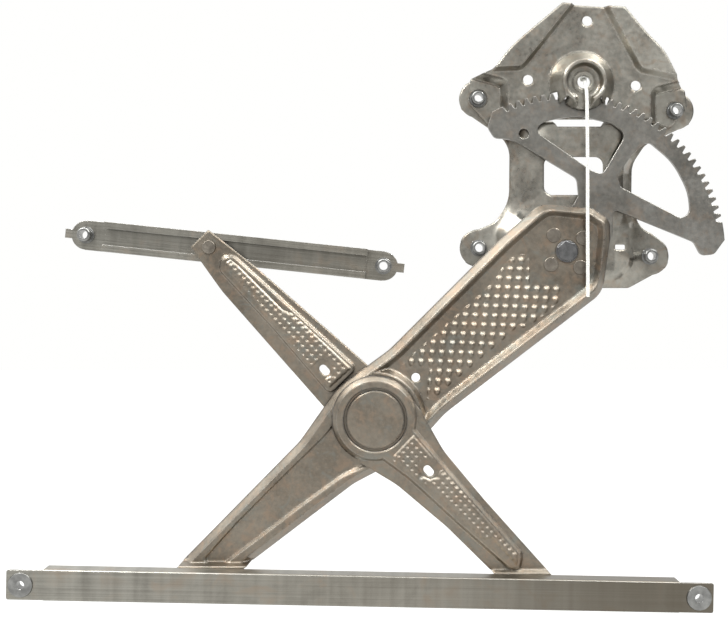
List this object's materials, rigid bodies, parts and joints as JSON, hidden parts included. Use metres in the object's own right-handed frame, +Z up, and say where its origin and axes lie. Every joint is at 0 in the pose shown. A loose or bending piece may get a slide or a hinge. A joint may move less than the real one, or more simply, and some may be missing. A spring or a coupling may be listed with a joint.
{
  "type": "window regulator",
  "caption": "Cross-arm vehicle window regulator: toothed sector lift arm, scissor equalizer arm, glass channel, guide bracket and pressed steel mounting plates.",
  "frame": {"origin": "on the pinion's axis, in the mounting face that lies on the door panel", "axes": "+X along the glass channel to the right, +Z up in the door, +Y from the cabin side towards the door panel"},
  "size_m": [0.5173, 0.0452, 0.4396],
  "materials": {
    "arm_steel": "pressed steel, satin, faint brown oil film",
    "plate_steel": "pressed steel, satin",
    "gear_steel": "blanked steel, matte grey",
    "channel_steel": "roll-formed galvanised steel, satin",
    "fastener_steel": "zinc-plated steel",
    "dark_steel": "black-oxide steel",
    "spring_steel": "blued spring steel",
    "bearing_steel": "greased sintered steel",
    "roller_plastic": "natural acetal",
    "tie_nylon": "natural nylon"
  },
  "bodies": {
    "base": {"base_plate": "plate_steel", "housing_plate": "plate_steel", "base_nuts": "fastener_steel", "pivot_bush": "bearing_steel", "spring_post": "fastener_steel", "tie_strap": "tie_nylon", "tie_head": "tie_nylon"},
    "lift_arm": {"lift_arm": "arm_steel", "sector_gear": "gear_steel", "sector_rivets": "arm_steel", "pivot_shaft": "dark_steel", "spiral_spring": "spring_steel", "lift_pin": "fastener_steel"},
    "equalizer": {"front_arm": "arm_steel", "rear_arm": "arm_steel", "scissor_bush": "bearing_steel", "friction_washer": "bearing_steel", "equalizer_pin": "fastener_steel", "guide_pin": "arm_steel"},
    "lift_roller": {"lift_roller": "roller_plastic"},
    "equalizer_roller": {"equalizer_roller": "roller_plastic"},
    "guide_roller": {"guide_roller": "roller_plastic"},
    "glass_channel": {"glass_channel": "channel_steel", "channel_nuts": "fastener_steel"},
    "bracket": {"bracket_channel": "channel_steel", "bracket_end_left": "channel_steel", "bracket_end_right": "channel_steel", "bracket_nuts": "fastener_steel"}
  },
  "joints": [
    {"name": "lift_pivot", "type": "hinge", "parent": "base", "child": "lift_arm", "pos_m": [-0.01188, -0.012, -0.12343], "axis": [0, 1, 0], "range_deg": [-70, 24]},
    {"name": "scissor_pivot", "type": "hinge", "parent": "lift_arm", "child": "equalizer", "pos_m": [-0.15226, -0.018, -0.24546], "axis": [0, -1, 0], "range_deg": [0, 180]},
    {"name": "lift_roller_spin", "type": "hinge", "parent": "lift_arm", "child": "lift_roller", "pos_m": [-0.2819, -0.036, -0.36301], "axis": [0, -1, 0], "range_deg": [0, 88]},
    {"name": "equalizer_roller_spin", "type": "hinge", "parent": "equalizer", "child": "equalizer_roller", "pos_m": [-0.03991, -0.036, -0.36765], "axis": [0, -1, 0], "range_deg": [-94.5, 0]},
    {"name": "guide_roller_spin", "type": "hinge", "parent": "equalizer", "child": "guide_roller", "pos_m": [-0.27448, -0.007, -0.12021], "axis": [0, -1, 0], "range_deg": [-94.5, 0]},
    {"name": "channel_slide", "type": "slide", "parent": "lift_roller", "child": "glass_channel", "axis": [0.9998, 0, -0.0192], "range_m": [0, 0.09]},
    {"name": "bracket_slide", "type": "slide", "parent": "guide_roller", "child": "bracket", "axis": [0.9946, 0, -0.1037], "range_m": [-0.1, 0.025]}
  ],
  "couplings": [
    {"joint": "lift_roller_spin", "follows": "scissor_pivot", "ratio": 0.483},
    {"joint": "equalizer_roller_spin", "follows": "scissor_pivot", "ratio": -0.517},
    {"joint": "guide_roller_spin", "follows": "scissor_pivot", "ratio": -0.517}
  ]
}
